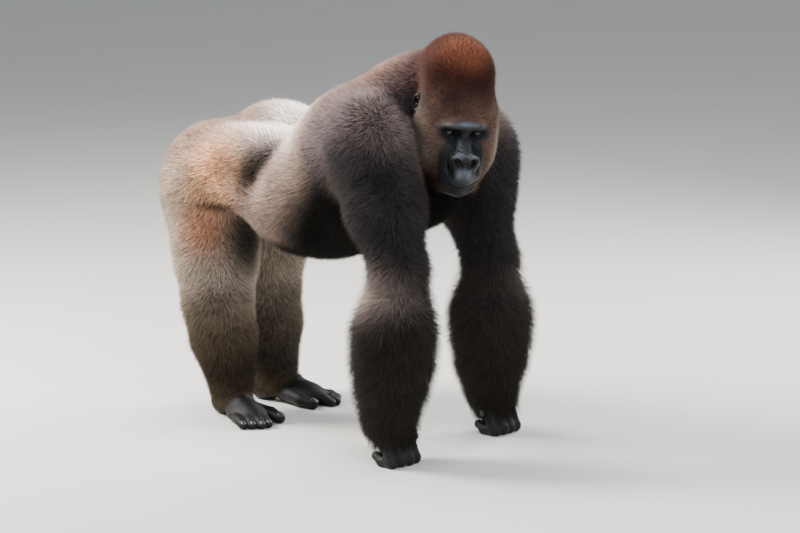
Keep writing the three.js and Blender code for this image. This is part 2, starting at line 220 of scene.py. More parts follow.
class Flesh:
    """Lobes that melt into each other over a distance of their own, and hollows carved out of them."""

    MARGIN = 12  # how far round a lobe it is worked out, past where it melts

    def __init__(self):
        self.lobes = []

    def ball(self, centre, radii, blend, region, depth=None, turn=None, carve=False):
        """An ellipsoid. turn is the rotation of its axes."""
        radii = np.array(radii, float)
        turn = np.eye(3) if turn is None else turn
        reach = np.abs(turn) @ radii

        def measure(x, y, z):
            away = (x - centre[0], y - centre[1], z - centre[2])
            local = [sum(turn[i, axis] * away[i] for i in range(3)) / radii[axis] for axis in range(3)]
            near = np.sqrt(sum(part * part for part in local))
            slope = np.sqrt(sum((part / r) ** 2 for part, r in zip(local, radii)))
            return near * (near - 1) / np.maximum(slope, 1e-6)

        self.add(measure, np.asarray(centre) - reach, np.asarray(centre) + reach, blend, region, depth, carve)

    def limb(self, start, r0, end, r1, blend, region, depth=None, carve=False):
        """A rod with round ends, whose radius changes from one end to the other."""
        start, end = np.asarray(start, float), np.asarray(end, float)
        along = end - start
        widest = max(r0, r1)

        def measure(x, y, z):
            away = (x - start[0], y - start[1], z - start[2])
            t = np.clip(sum(a * d for a, d in zip(away, along)) / (along @ along), 0, 1)
            return np.sqrt(sum((a - t * d) ** 2 for a, d in zip(away, along))) - (r0 + t * (r1 - r0))

        low, high = np.minimum(start, end) - widest, np.maximum(start, end) + widest
        self.add(measure, low, high, blend, region, depth, carve)

    def add(self, measure, low, high, blend, region, depth, carve):
        """Adds a lobe by how far places lie from it, the box it fills and what it is part of."""
        margin = 2 * blend + self.MARGIN
        depth = DEPTHS[region] if depth is None else depth
        kind = [depth] + [float(region == name) for name in REGIONS]
        self.lobes.append((measure, low - margin, high + margin, blend, np.array(kind), -1 if carve else 1))

    @staticmethod
    def melt(lobe, x, y, z, field, kinds):
        """Melts one lobe into the field, and its kind into the kinds."""
        measure, _, _, blend, kind, sign = lobe
        other = sign * measure(x, y, z)
        share = np.clip(0.5 + sign * (other - field) / (2 * blend), 0, 1)
        melted = other + (field - other) * share - sign * blend * share * (1 - share)
        if sign > 0:
            more = (1 - share) ** 2 * (1 + 2 * share)
            for have, value in zip(kinds, kind):
                have += (value - have) * more
        return melted

    def at(self, spots):
        """The distance to the outline, under zero inside, and the depth and share of each region there."""
        field = np.full(len(spots), 1e3)
        kinds = np.zeros((1 + len(REGIONS), len(spots)))
        x, y, z = np.ascontiguousarray(spots.T)
        for lobe in self.lobes:
            low, high = lobe[1], lobe[2]
            near = (x > low[0]) & (x < high[0]) & (y > low[1]) & (y < high[1]) & (z > low[2]) & (z < high[2])
            near = np.flatnonzero(near)
            if len(near):
                some = kinds[:, near]
                field[near] = self.melt(lobe, x[near], y[near], z[near], field[near], some)
                kinds[:, near] = some
        return field, kinds[0], kinds[1:].T

    def on_grid(self, axes):
        """The distance to the outline and the coat's depth at every crossing of a grid."""
        field = np.full([len(axis) for axis in axes], 1e3, np.float32)
        depth = np.zeros_like(field)
        for lobe in self.lobes:
            low, high = lobe[1], lobe[2]
            span = tuple(slice(*np.searchsorted(axis, (low[i], high[i]))) for i, axis in enumerate(axes))
            x, y, z = np.meshgrid(*(axis[part] for axis, part in zip(axes, span)), indexing="ij", sparse=True)
            field[span] = self.melt(lobe, x, y, z, field[span], [depth[span]])
        return field, depth


def torso_flesh(flesh):
    """Rump, back, belly and chest, and the fold of skin between flank and thigh."""
    def ball(x, y, z, radii, blend, depth=None):
        flesh.ball(point(x, y, z), radii, blend, "torso", depth)

    ball(-388, 0, 685, (185, 175, 165), 60)
    for side in SIDES.values():
        ball(-433, side * 92, 650, (144, 113, 180), 60)
        ball(-318, side * 120, 722, (88, 88, 90), 40)
        ball(-222, side * 128, 672, (74, 62, 66), 50)
    ball(-262, -88, 770, (170, 82, 84), 40)
    ball(-300, 92, 814, (168, 82, 86), 40)
    ball(-200, 0, 712, (230, 146, 126), 50)
    ball(-20, 0, 656, (210, 226, 182), 24)
    for side in SIDES.values():
        ball(-42, side * 105, 622, (130, 105, 118), 30)
    for side in SIDES.values():
        flesh.limb(point(-110, side * 140, 614), 66, point(-266, side * 170, 664), 34, 36, "torso", 14)
    ball(128, 0, 748, (240, 236, 214), 60)
    ball(150, 0, 845, (215, 175, 108), 60)
    ball(320, 0, 772, (140, 168, 176), 60)
    for side in SIDES.values():
        ball(205, side * 118, 838, (165, 108, 150), 70)


def neck_flesh(flesh):
    """The thick nape, from the shoulders to the back of the skull, and the throat."""
    flesh.limb(point(160, 0, 838), 165, point(265, 4, 925), 145, 60, "neck")
    flesh.ball(point(345, 8, 970), (125, 86, 134), 50, "neck")
    flesh.ball(point(390, -2, 870), (90, 90, 110), 50, "neck")


def arm_flesh(flesh, side, joints):
    """An arm as far as the wrist, in the shape of its long hair."""
    shoulder, elbow, wrist = (np.array(joints[name], float) for name in ("shoulder", "elbow", "wrist"))
    upper = between(shoulder, elbow, 0.5)

    def down(share):
        return between(elbow, wrist, share)

    flesh.ball(shoulder + point(-20, -side * 5, 0), (130, 100, 150), 80, "upper_arm")
    if side > 0:
        flesh.ball(shoulder + point(48, 56, -65), (105, 95, 140), 60, "upper_arm")
    flesh.limb(shoulder, 108, upper, 114, 60, "upper_arm")
    flesh.limb(upper, 112, elbow, 82, 30, "upper_arm")
    flesh.limb(elbow, 84, down(0.44), 113, 40, "forearm")
    flesh.limb(down(0.44), 120, down(0.62), 118, 30, "forearm", 46)
    flesh.limb(down(0.64), 115, down(0.84), 98, 20, "forearm", 40)
    flesh.limb(down(0.84), 97, down(1.04), 72, 20, "forearm", 24)


def leg_flesh(flesh, joints):
    """A short leg as far as the ankle."""
    hip, knee, ankle = (np.array(joints[name], float) for name in ("hip", "knee", "ankle"))
    calf = between(knee, ankle, 0.4)
    flesh.limb(hip, 150, between(hip, knee, 0.6), 122, 60, "thigh")
    flesh.limb(between(hip, knee, 0.5), 120, knee, 101, 40, "thigh")
    flesh.limb(knee, 101, calf, 97, 40, "shank")
    flesh.limb(calf, 97, ankle, 72, 30, "shank", 17)


def by_hand(side, joints):
    """Places by a hand: forward of the wrist, away from the body's middle and above the ground."""
    wrist = joints["wrist"]
    return lambda x, y, z: point(wrist[0] + x, wrist[1] + side * y, z)


def fingers(place):
    """The knuckle, the bend and the tip of each finger. A hand stands on the backs of its middle bones."""
    for at in (-1.5, -0.5, 0.5, 1.5):
        y = at * FINGER_SPACING
        longer = 6 - 4 * abs(at + 0.2)
        yield y, place(50 + longer, y, 17), place(12, y, 14.5), place(-10, y, 27)


def hand_flesh(flesh, side, joints):
    """A hand closed to a loose fist, with the thumb beside it."""
    place = by_hand(side, joints)
    flesh.ball(place(10, 0, 105), (40, 62, 62), 20, "hand", 12)
    for y, knuckle, bend, tip in fingers(place):
        flesh.limb(place(24, y * 0.95, 72), 19, knuckle, 17, 8, "hand")
        flesh.limb(knuckle, 17, bend, 15.5, 6, "hand")
        flesh.limb(bend, 15, tip, 12, 5, "hand")
    flesh.limb(place(0, -52, 128), 16, place(20, -72, 66), 12, 10, "hand")


def by_foot(side, joints):
    """Places by a foot: along it from the ankle, away from the body's middle and above the ground."""
    ankle = joints["ankle"]
    sin, cos = math.sin(TOES_OUT), math.cos(TOES_OUT)
    return lambda x, y, z: point(ankle[0] + x * cos - y * sin, ankle[1] + side * (x * sin + y * cos), z)


def toes(place):
    """The root, the bend and the tip of each toe, the big one first."""
    root, tip = place(120, -62, 22), place(162, -68, 15.5)
    yield root, between(root, tip, 0.6), tip
    for i in range(4):
        y = i * TOE_SPACING - 14
        reach = FOOT_LENGTH - 97 - 12 * abs(i - 0.7)
        yield place(125, y * 0.9, 22), place(reach - 22, y, 20), place(reach, y, 11)


def foot_flesh(flesh, side, joints):
    """A flat foot with the heel, the ball and the toes, the big one standing away from the others."""
    place = by_foot(side, joints)
    flesh.ball(place(-35, 0, 36), (50, 40, 42), 20, "foot")
    flesh.limb(place(0, 0, 62), 44, place(110, 4, 30), 30, 20, "foot")
    flesh.ball(place(105, 8, 24), (70, 48, 30), 20, "foot")
    flesh.limb(place(40, -22, 30), 24, place(120, -62, 22), 19, 14, "foot")
    (root, _, tip), *small = toes(place)
    flesh.limb(root, 18, tip, 16, 6, "foot")
    for root, bend, tip in small:
        flesh.limb(root, 14, bend, 13, 7, "foot")
        flesh.limb(bend, 13, tip, 12, 4, "foot")


def head_flesh(flesh):
    """The crested skull, the cheeks, the brow, the muzzle and the lips, with the folds and the ears."""
    def ball(x, y, z, radii, blend, **rest):
        flesh.ball(from_head(x, y, z), radii, blend, rest.pop("region", "head"), turn=HEAD_AXES, **rest)

    def limb(start, r0, end, r1, blend, **rest):
        flesh.limb(from_head(*start), r0, from_head(*end), r1, blend, rest.pop("region", "head"), **rest)

    ball(0, 0, 32, (105, 107, 92), 30)
    ball(-28, 0, 116, (102, 101, 107), 40)
    ball(-90, 0, 116, (84, 84, 92), 40)
    ball(52, 0, 65, (50, 74, 62), 40)
    for side in SIDES.values():
        ball(12, side * 80, -45, (75, 36, 98), 40)
        ball(70, side * 64, -30, (32, 28, 34), 20)
        ball(58, side * 52, -92, (48, 36, 64), 36)
        limb((80, side * 64, 10), 11, (102, side * 34, 26), 18, 14)
        limb((102, side * 34, 26), 17, (105, 0, 20), 15, 12)
    ball(86, 0, -95, (66, 56, 66), 26)
    limb((92, 0, 4), 17, (134, 0, -52), 19, 14)
    ball(35, 0, -145, (82, 70, 48), 36)
    for side in SIDES.values():
        limb((124, 0, -115), 28, (96, side * 38, -116), 26, 14)
    for side in SIDES.values():
        limb((113, 0, -156), 23, (90, side * 40, -154), 25, 3.5)
    for side in SIDES.values():
        ball(140, side * 21, -72, (20, 19, 23), 9)
        ball(110, side * 38, -4, (22, 25, 12), 9, carve=True)
        ball(-22, side * 129, 34, (26, 22, 38), 16, carve=True)
        face_folds(ball, limb, side)
        ear_flesh(ball, limb, side)


def arc(limb, spots, radius, blend, **rest):
    """A row of rods from spot to spot."""
    for start, end in zip(spots, spots[1:]):
        limb(start, radius, end, radius, blend, **rest)


def face_folds(ball, limb, side):
    """The lids, the nostril with its rim, the pad under it, and the creases by the nose and on the brow."""
    x, y, z = EYE_PLACE
    ball(x, side * y, z, [EYE_RADIUS + 2] * 3, 3)
    ball(x + 11, side * y, z + 0.5, (9, 10, 3.4), 1.2, carve=True)
    across = (-12, -6, 0, 6, 12)
    lid = [(x + 9.5 - (off / 13) ** 2 * 5, side * y + off, z + 5 - (off / 12) ** 2 * 3) for off in across]
    arc(limb, lid, 2.2, 2.5)
    across = (-13, -6, 1, 8, 15)
    bag = [(x + 7 - (off / 13) ** 2 * 5, side * y + off, z - 9 + (off / 14) ** 2 * 4) for off in across]
    arc(limb, bag, 3, 4)
    rim = []
    for turn in np.linspace(-0.6, 2.7, 9):
        cos, sin = math.cos(turn), math.sin(turn)
        rim.append((147 - 7 * cos + 3 * sin, side * (19 + 18 * cos), -70 + 17 * sin))
    arc(limb, rim, 5.2, 4)
    ball(147, side * 12, -99, (14, 20, 20), 6)
    limb((156, side * 24, -61), 8, (163, side * 9, -82), 5, 3, carve=True)
    limb((146, side * 20, -64), 7, (153, side * 10, -80), 5, 3, carve=True)
    limb((164, 0, -84), 1.4, (159, 0, -118), 1.4, 2, carve=True)
    crease = [(125, 43, -50), (127, 46, -72), (129, 43, -92), (132, 36, -106)]
    arc(limb, [(a, side * b, c) for a, b, c in crease], 2, 7, carve=True)
    limb((112, 0, 48), 3.2, (109, side * 17, 45), 2.2, 6, carve=True)


def ear_flesh(ball, limb, side):
    """A small ear, lying close to the head, with a deep bowl and the folds in it."""
    x, y, z = EAR_PLACE
    ball(x, side * y, z, EAR_SIZE, 5, region="ear")
    ball(x + 11, side * (y + 13), z + 3, (15, 14, 23), 2.5, region="ear", carve=True)
    limb((x - 1, side * (y + 6), z + 14), 2.2, (x + 12, side * (y + 4), z + 20), 2, 2, region="ear")
    limb((x - 2, side * (y + 6), z - 14), 2.4, (x + 6, side * (y + 5), z + 4), 2, 2, region="ear")


def gorilla_flesh():
    """The whole animal, out to the tips of its coat. Each lobe melts into those before it."""
    flesh = Flesh()
    torso_flesh(flesh)
    neck_flesh(flesh)
    for name, side in SIDES.items():
        arm_flesh(flesh, side, JOINTS[name])
        leg_flesh(flesh, JOINTS[name])
        hand_flesh(flesh, side, JOINTS[name])
        foot_flesh(flesh, side, JOINTS[name])
    head_flesh(flesh)
    return flesh


# ---------------------------------------------------------------- skin


def smooth(low, high, value):
    """From 0 to 1 as value goes from low to high, without a corner."""
    t = np.clip((value - low) / (high - low), 0, 1)
    return t * t * (3 - 2 * t)


def ripple(spots, scale, seed, waves=6):
    """A soft noise from -1 to 1 whose swells are about scale across: a sum of waves in random directions."""
    chance = np.random.default_rng(seed)
    total = np.zeros(len(spots))
    for _ in range(waves):
        way = chance.normal(size=3)
        way *= chance.uniform(0.7, 1.4) / np.linalg.norm(way)
        total += np.sin(spots @ way * (math.pi / scale) + chance.uniform(0, 2 * math.pi))
    return total / waves ** 0.5 / 1.6


def into_face(spots):
    """How far inside the bare face each place lies: a band over the eyes and an oval round the muzzle."""
    x, y, z = onto_head(spots).T
    band = 40 * (1 - np.hypot(y / 78, z / 37))
    muzzle = 60 * (1 - np.hypot(y / 65, (z + 88) / 108))
    return np.where(x > 0, np.maximum(band, muzzle) + np.minimum(x - 50, 0), -99)


def face_share(spots):
    """1 on the bare face, 0 in the coat."""
    return smooth(-12, 10, into_face(spots))


def bareness(spots, regions):
    """1 on the bare skin of the face, ears, hands and feet, 0 in the coat."""
    share = np.maximum(face_share(spots), share_of(regions, "ear"))
    hand = share_of(regions, "hand") * smooth(64, 38, spots[:, 2])
    return np.maximum(share, smooth(0.3, 0.9, hand + share_of(regions, "foot")))


def wrinkles(spots):
    """How far folds too fine for a lobe stand out of the face."""
    x, y, z = onto_head(spots).T
    uneven = ripple(spots, 17, 3)
    bridge = smooth(28, 14, np.abs(y)) * smooth(-60, -48, z) * smooth(2, -14, z)
    folds = bridge * np.sin((z - 0.3 * np.abs(y) + 7 * uneven) * 2 * math.pi / 9) * 1.1
    below = np.hypot(np.abs(y) - EYE_PLACE[1], z - EYE_PLACE[2])
    bags = smooth(14, 19, below) * smooth(36, 26, below) * smooth(0, -10, z)
    folds += bags * np.sin((below + 5 * uneven) * 2 * math.pi / 6) * 0.85
    mouth = np.abs(z + 142 - 0.004 * y ** 2)
    folds -= smooth(4, 0, mouth) * smooth(58, 46, np.abs(y)) * 3
    lip = smooth(50, 40, np.abs(y)) * smooth(-108, -116, z) * smooth(-150, -140, z)
    folds += lip * np.sin((y + 6 * uneven) * 2 * math.pi / 8) * 0.12
    return face_share(spots) * (folds + ripple(spots, 8, 11) * 0.3)


def skin_level(flesh, spots):
    """Zero on the skin, under zero inside."""
    field, depth, regions = flesh.at(spots)
    return field + depth * (1 - bareness(spots, regions)) - wrinkles(spots)


def press_on(flesh, spots, rounds, step=0.4):
    """Moves points onto the skin, along the steepest way. Soles and knuckles stay flat on the ground."""
    for _ in range(rounds):
        level = skin_level(flesh, spots)
        slope = np.empty_like(spots)
        for axis in range(3):
            nudge = np.zeros(3)
            nudge[axis] = step
            slope[:, axis] = (skin_level(flesh, spots + nudge) - level) / step
        steep = np.maximum((slope ** 2).sum(1), 0.3)
        spots = spots - np.clip(level, -6, 6)[:, None] * slope / steep[:, None]
        spots[:, 2] = np.maximum(spots[:, 2], 0)
    return spots


def ticks(*spans):
    """Marks along an axis, from spans of (start, end, distance between marks)."""
    marks = [np.linspace(start, end, max(2, round((end - start) / step) + 1)) for start, end, step in spans]
    return np.unique(np.concatenate(marks).round(4))


def net(field, axes):
    """The surface where a field on a grid passes zero: one point in each cell it crosses, and the squares
    that join them."""
    inside = field < 0
    sizes = np.array(field.shape)
    corners = list(product((0, 1), repeat=3))

    def shifted(array, corner):
        return array[tuple(slice(c, size - 1 + c) for c, size in zip(corner, sizes))]

    count = sum(shifted(inside, corner).astype(np.int8) for corner in corners)
    cells = np.argwhere((count > 0) & (count < 8))
    number = np.full(sizes, -1, np.int32)
    number[tuple(cells.T)] = np.arange(len(cells))

    total = np.zeros((len(cells), 3))
    hits = np.zeros(len(cells))
    for corner in corners:
        for axis in range(3):
            if corner[axis]:
                continue
            start = cells + corner
            end = start + np.eye(3, dtype=int)[axis]
            a, b = field[tuple(start.T)], field[tuple(end.T)]
            crossed = (a < 0) != (b < 0)
            t = np.where(crossed, a / np.where(crossed, a - b, 1), 0)
            spot = np.stack([axes[i][start[:, i]] for i in range(3)], axis=1)
            spot[:, axis] += t * (axes[axis][end[:, axis]] - axes[axis][start[:, axis]])
            total += spot * crossed[:, None]
            hits += crossed
    spots = total / hits[:, None]

    squares = []
    for axis in range(3):
        one, two = (axis + 1) % 3, (axis + 2) % 3
        step = np.eye(3, dtype=int)
        low = inside[tuple(slice(0, -1) if i == axis else slice(None) for i in range(3))]
        high = inside[tuple(slice(1, None) if i == axis else slice(None) for i in range(3))]
        edges = np.argwhere(low != high)
        ring = [edges - step[one] - step[two], edges - step[two], edges, edges - step[one]]
        square = np.stack([number[tuple(cell.T)] for cell in ring], axis=1)
        leaves = low[tuple(edges.T)]
        square[~leaves] = square[~leaves][:, ::-1]
        squares.append(square)
    return spots, np.concatenate(squares)


def link(name, data):
    """Puts a mesh, a lamp or a camera into the scene."""
    thing = bpy.data.objects.new(name, data)
    bpy.context.scene.collection.objects.link(thing)
    return thing


def mesh_of(name, shape):
    """Ends the work on a bmesh and keeps it as a mesh."""
    mesh = bpy.data.meshes.new(name)
    shape.to_mesh(mesh)
    shape.free()
    return mesh


def new_object(name, spots, faces):
    """A mesh object from points in millimetres and faces that all have the same number of corners."""
    mesh = bpy.data.meshes.new(name)
    mesh.vertices.add(len(spots))
    mesh.vertices.foreach_set("co", (np.asarray(spots) * MM).astype(np.float32).ravel())
    mesh.loops.add(faces.size)
    mesh.loops.foreach_set("vertex_index", faces.astype(np.int32).ravel())
    mesh.polygons.add(len(faces))
    mesh.polygons.foreach_set("loop_start", np.arange(0, faces.size, faces.shape[1], dtype=np.int32))
    mesh.update(calc_edges=True)
    mesh.shade_smooth()
    return link(name, mesh)


def places_of(mesh):
    """The places of a mesh's points, in millimetres."""
    spots = np.empty(len(mesh.vertices) * 3, np.float32)
    mesh.vertices.foreach_get("co", spots)
    return spots.reshape(-1, 3).astype(float) / MM


def place_all(mesh, spots):
    """Moves a mesh's points to places in millimetres."""
    mesh.vertices.foreach_set("co", (spots * MM).astype(np.float32).ravel())
    mesh.update()


def give(mesh, name, values):
    """Stores a number or a colour at every point of a mesh."""
    if values.ndim == 2:
        layer = mesh.attributes.new(name, "FLOAT_COLOR", "POINT")
        values = np.concatenate([values, np.ones((len(values), 1))], axis=1)
        layer.data.foreach_set("color", values.astype(np.float32).ravel())
    else:
        layer = mesh.attributes.new(name, "FLOAT", "POINT")
        layer.data.foreach_set("value", values.astype(np.float32))


def refine(thing, flesh, wanted):
    """Cuts the wanted faces finer and presses them onto the skin again."""
    spots = places_of(thing.data)
    chosen = wanted(spots)
    shape = bmesh.new()
    shape.from_mesh(thing.data)
    faces = [face for face in shape.faces if all(chosen[vertex.index] for vertex in face.verts)]
    edges = list({edge for face in faces for edge in face.edges})
    bmesh.ops.subdivide_edges(shape, edges=edges, cuts=1, use_grid_fill=True)
    shape.to_mesh(thing.data)
    shape.free()
    spots = places_of(thing.data)
    moved = np.flatnonzero(wanted(spots))
    spots[moved] = press_on(flesh, spots[moved], 3)
    place_all(thing.data, spots)


def fine_parts(spots):
    """Where the face and the ears are."""
    local = onto_head(spots)
    ear = np.zeros(len(spots), bool)
    for side in SIDES.values():
        away = (local - point(EAR_PLACE[0], side * EAR_PLACE[1], EAR_PLACE[2])) / (32, 28, 44)
        ear |= (away ** 2).sum(1) < 1
    return (face_share(spots) > 0.02) | ear


def finest_parts(spots):
    """Where the eyes, the nose and the lips are."""
    x, y, z = onto_head(spots).T
    eye = np.hypot(np.abs(y) - EYE_PLACE[1], (z - EYE_PLACE[2]) * 1.1) < 21
    nose = (np.hypot(y / 44, (z + 80) / 32) < 1) & (x > 118)
    return (x > 60) & (eye | nose)


# ---------------------------------------------------------------- colours of the coat


def patches(colours):
    """Patches of colour over the plain colour of each region: middle, half sizes, colour and strength."""
    yield point(165, 0, 1030), (130, 130, 80), colours.withers, 0.7
    yield from_head(-40, 0, 140), (145, 165, 118), colours.crown, 0.97
    yield from_head(36, 8, 204), (84, 74, 56), colours.crown_top, 0.8
    for name, side in SIDES.items():
        elbow, ankle = JOINTS[name]["elbow"], JOINTS[name]["ankle"]
        yield from_head(0, side * 104, 20), (70, 54, 72), colours.temple, 0.95
        yield from_head(28, side * 90, -72), (66, 50, 78), colours.cheek, 0.95
        yield point(elbow[0] - 20, elbow[1] + side * 45, elbow[2] - 50), (80, 70, 70), colours.elbow, 0.6
        yield point(170, side * 130, 960), (160, 120, 100), colours.nape, 0.75
        # Golden hair, partly a painted highlight, on the side of the hips
        yield point(-300, side * 205, 738), (110, 100, 120), colours.hip, 1
        yield point(-300, side * 215, 570), (84, 70, 90), colours.groin, 0.8
        # Painted shade at the front of the thigh, under the belly
        yield point(-228, side * 125, 525), (56, 84, 115), colours.belly, 0.9
        # Painted shade in the hollow between the ribs and the hips
        yield point(-137, side * 152, 765), (56, 60, 52), colours.hollow, 0.9
        yield point(-174, side * 158, 715), (58, 60, 58), colours.hollow, 0.95
        # Silver hair, partly a painted highlight, on the upper flank
        yield point(-15, side * 195, 822), (40, 60, 50), colours.saddle, 0.2
        yield point(160, side * 225, 850), (90, 90, 95), colours.shoulder, 0.85
        # Painted shade in the fold between the flank and the thigh
        yield point(-270, side * 205, 626), (62, 60, 13), colours.belly, 0.85
        yield point(*ankle) + point(0, 0, 70), (120, 120, 85), colours.ankle, 0.95
        yield point(-385, side * 200, 700), (50, 70, 80), colours.thigh, 0.6
        yield point(400, side * 215, 930), (90, 80, 90), colours.flank, 0.5
        yield point(-300, side * 200, 290), (130, 110, 85), colours.shank, 0.75
    # Painted light: the far leg made paler where it lies in shade
    yield point(-330, 130, 320), (130, 110, 200), colours.thigh, 0.25
    # Painted light: the far forearm made a little paler
    yield point(*JOINTS["left"]["elbow"]) - point(0, 0, 130), (110, 110, 140), colours.nape, 0.3
    yield point(-560, 0, 680), (130, 240, 190), colours.rump, 0.7
    yield from_head(20, 0, -215), (120, 100, 80), colours.throat, 1
    # Silver hair along the back, partly a painted highlight
    yield point(-160, 0, 880), (200, 200, 95), colours.saddle, 0.95
    yield point(-440, 0, 800), (170, 220, 140), colours.rump, 0.9
    yield point(420, 0, 640), (150, 200, 210), colours.belly, 1


def cover(result, colour, share):
    """Lays one colour over those of many places, as strongly as each place's share."""
    result += (np.array(tuple(colour)) - result) * share[:, None]


def coat_colours(spots, regions, colours):
    """The colour of the coat over each place of the skin."""
    plain = {
        "head": colours.crown, "neck": colours.nape, "torso": colours.flank, "upper_arm": colours.upper_arm,
        "forearm": colours.forearm, "hand": colours.forearm, "thigh": colours.thigh, "shank": colours.shank,
        "foot": colours.shank, "ear": colours.throat,
    }
    table = np.array([tuple(plain[name]) for name in REGIONS])
    result = regions / np.maximum(regions.sum(1, keepdims=True), 1e-6) @ table
    cover(result, colours.face_edge, smooth(-75, -4, into_face(spots)) * 0.8)
    x, _, z = spots.T
    # Darker on the underside and towards the front of the barrel: partly the belly's blackish hair, partly
    # painted shade under the body
    under = np.maximum(smooth(-115, 10, 0.79 * (x - 20) - 0.61 * (z - 543)), smooth(585, 530, z))
    cover(result, colours.belly, under * share_of(regions, "torso"))
    cover(result, colours.shoulder, smooth(800, 940, z) * share_of(regions, "upper_arm"))
    for middle, sizes, colour, strength in patches(colours):
        away = (((spots - middle) / sizes) ** 2).sum(1)
        cover(result, colour, strength * np.exp(-away ** 1.5))
    return result * (1 + 0.12 * ripple(spots, 45, 21))[:, None]


def bare_colours(spots, colours):
    """The colour of the bare skin: painted shade in the nostrils, mouth, ears, eye sockets and beside the
    nose, and painted highlights on the nose, brow, lip and under the eyes.
    """
    result = np.tile(np.array(tuple(colours.bare)), (len(spots), 1))
    both_sides = [
        ((158, 13, -94), (14, 10, 13), 15),  # painted highlight on the pad under the nostril
        ((150, 22, -51), (12, 14, 6), 12),  # painted highlight on the top of the nostril's rim
        ((114, 28, 30), (22, 27, 9), 12),  # painted highlight on the brow
        ((160, 16, -71), (14, 10, 11), 0.08),  # painted shade in the nostril
        ((98, 36, 1), (20, 27, 13), 0.35),  # painted shade in the eye socket
        ((102, 32, -38), (18, 12, 22), 0.5),  # painted shade at the side of the nose
        ((-12, 113, 34), (14, 9, 20), 0.2),  # painted shade in the bowl of the ear
        ((96, 58, -64), (30, 17, 46), 0.3),  # edge of the face
        ((112, 28, -22), (14, 22, 12), 7),  # painted highlight on the folds under the eye
        ((146, 18, -116), (18, 18, 12), 5),  # painted highlight on the upper lip
        ((130, 10, -142), (14, 16, 3.5), 0.1),  # painted shade in the middle of the mouth
        ((115, 36, -137), (16, 18, 3.5), 0.08),  # painted shade in the corner of the mouth
    ]
    patches = [(from_head(132, 0, -45), (22, 20, 20), 9)]  # painted highlight on the bridge of the nose
    for side in SIDES.values():
        patches += [(from_head(x, side * y, z), sizes, strength) for (x, y, z), sizes, strength in both_sides]
    for middle, sizes, strength in patches:
        share = np.exp(-(((spots - middle) @ HEAD_AXES / sizes) ** 2).sum(1))
        result *= (1 + (strength - 1) * share)[:, None]
    return result


# ---------------------------------------------------------------- materials


class Value:
    """The output socket of a node, which takes part in sums with other sockets and plain numbers."""

    def __init__(self, paint, socket):
        self.paint, self.socket = paint, socket

    def result(self, operation, one, two):
        """What a Math node makes of two values."""
        return self.paint.node("ShaderNodeMath", {"operation": operation}, one, two)

    def __add__(self, other):
        return self.result("ADD", self, other)

    def __radd__(self, other):
        return self.result("ADD", other, self)

    def __sub__(self, other):
        return self.result("SUBTRACT", self, other)

    def __rsub__(self, other):
        return self.result("SUBTRACT", other, self)

    def __mul__(self, other):
        return self.result("MULTIPLY", self, other)

    def __rmul__(self, other):
        return self.result("MULTIPLY", other, self)


class Paint:
    """A material whose nodes are written as expressions."""

    def __init__(self, name):
        self.material = bpy.data.materials.new(name)
        self.material.use_nodes = True
        self.tree = self.material.node_tree
        self.tree.nodes.clear()

    def node(self, kind, settings=None, *values, output=0, **named):
        """Adds a node: its settings, what its sockets take in order or by name, and the output wanted."""
        node = self.tree.nodes.new(kind)
        for key, setting in (settings or {}).items():
            if key == "stops":
                self.set_stops(node.color_ramp, setting)
            else:
                setattr(node, key, setting)
        sockets = list(zip(node.inputs, values))
        sockets += [(self.socket_named(node, key), value) for key, value in named.items()]
        for socket, value in sockets:
            if isinstance(value, Value):
                self.tree.links.new(value.socket, socket)
            elif isinstance(value, tuple):
                socket.default_value = (*value, 1)
            else:
                socket.default_value = value
        return Value(self, node.outputs[output]) if node.outputs else None

    @staticmethod
    def socket_named(node, key):
        """The input that a node shows under a name."""
        wanted = key.replace("_", " ").lower()
        return next(socket for socket in node.inputs if socket.enabled and socket.name.lower() == wanted)

    @staticmethod
    def set_stops(ramp, stops):
        """Gives a ramp its colours, each from its own position on."""
        while len(ramp.elements) < len(stops):
            ramp.elements.new(1)
        for element, (position, colour) in zip(ramp.elements, stops):
            element.position = position
            element.color = (*colour, 1)

    def amount(self, name):
        """A number stored at the points of the mesh."""
        return self.node("ShaderNodeAttribute", {"attribute_name": name}, output=2)

    def colour(self, name):
        """A colour stored at the points of the mesh."""
        return self.node("ShaderNodeAttribute", {"attribute_name": name})

    def place(self):
        """The place on the piece, in its own metres."""
        return self.node("ShaderNodeTexCoord", output=3)

    def noise(self, scale, detail):
        """A cloudy pattern from 0 to 1, with about scale clouds to a metre."""
        return self.node("ShaderNodeTexNoise", Vector=self.place(), Scale=scale, Detail=detail)

    def mix(self, share, one, two):
        """One colour where the share is 0 and the other where it is 1."""
        return self.node("ShaderNodeMix", {"data_type": "RGBA"}, output=2, Factor=share, A=one, B=two)

    def scaled(self, colour, factor):
        """A colour made darker or lighter."""
        return self.node("ShaderNodeVectorMath", {"operation": "SCALE"}, colour, Scale=factor)

    def clamp(self, value, low, high, to_low=0.0, to_high=1.0):
        """A value between low and high, stretched to run from to_low to to_high."""
        return self.node("ShaderNodeMapRange", {"clamp": True}, value, low, high, to_low, to_high)

    def bump(self, height, strength, distance):
        """Small relief, distance deep at full strength."""
        return self.node("ShaderNodeBump", Strength=strength, Distance=distance, Height=height)

    def surface(self, **values):
        """Ends the material with a shader that takes these values."""
        self.node("ShaderNodeOutputMaterial", {}, self.node("ShaderNodeBsdfPrincipled", **values))
        return self.material


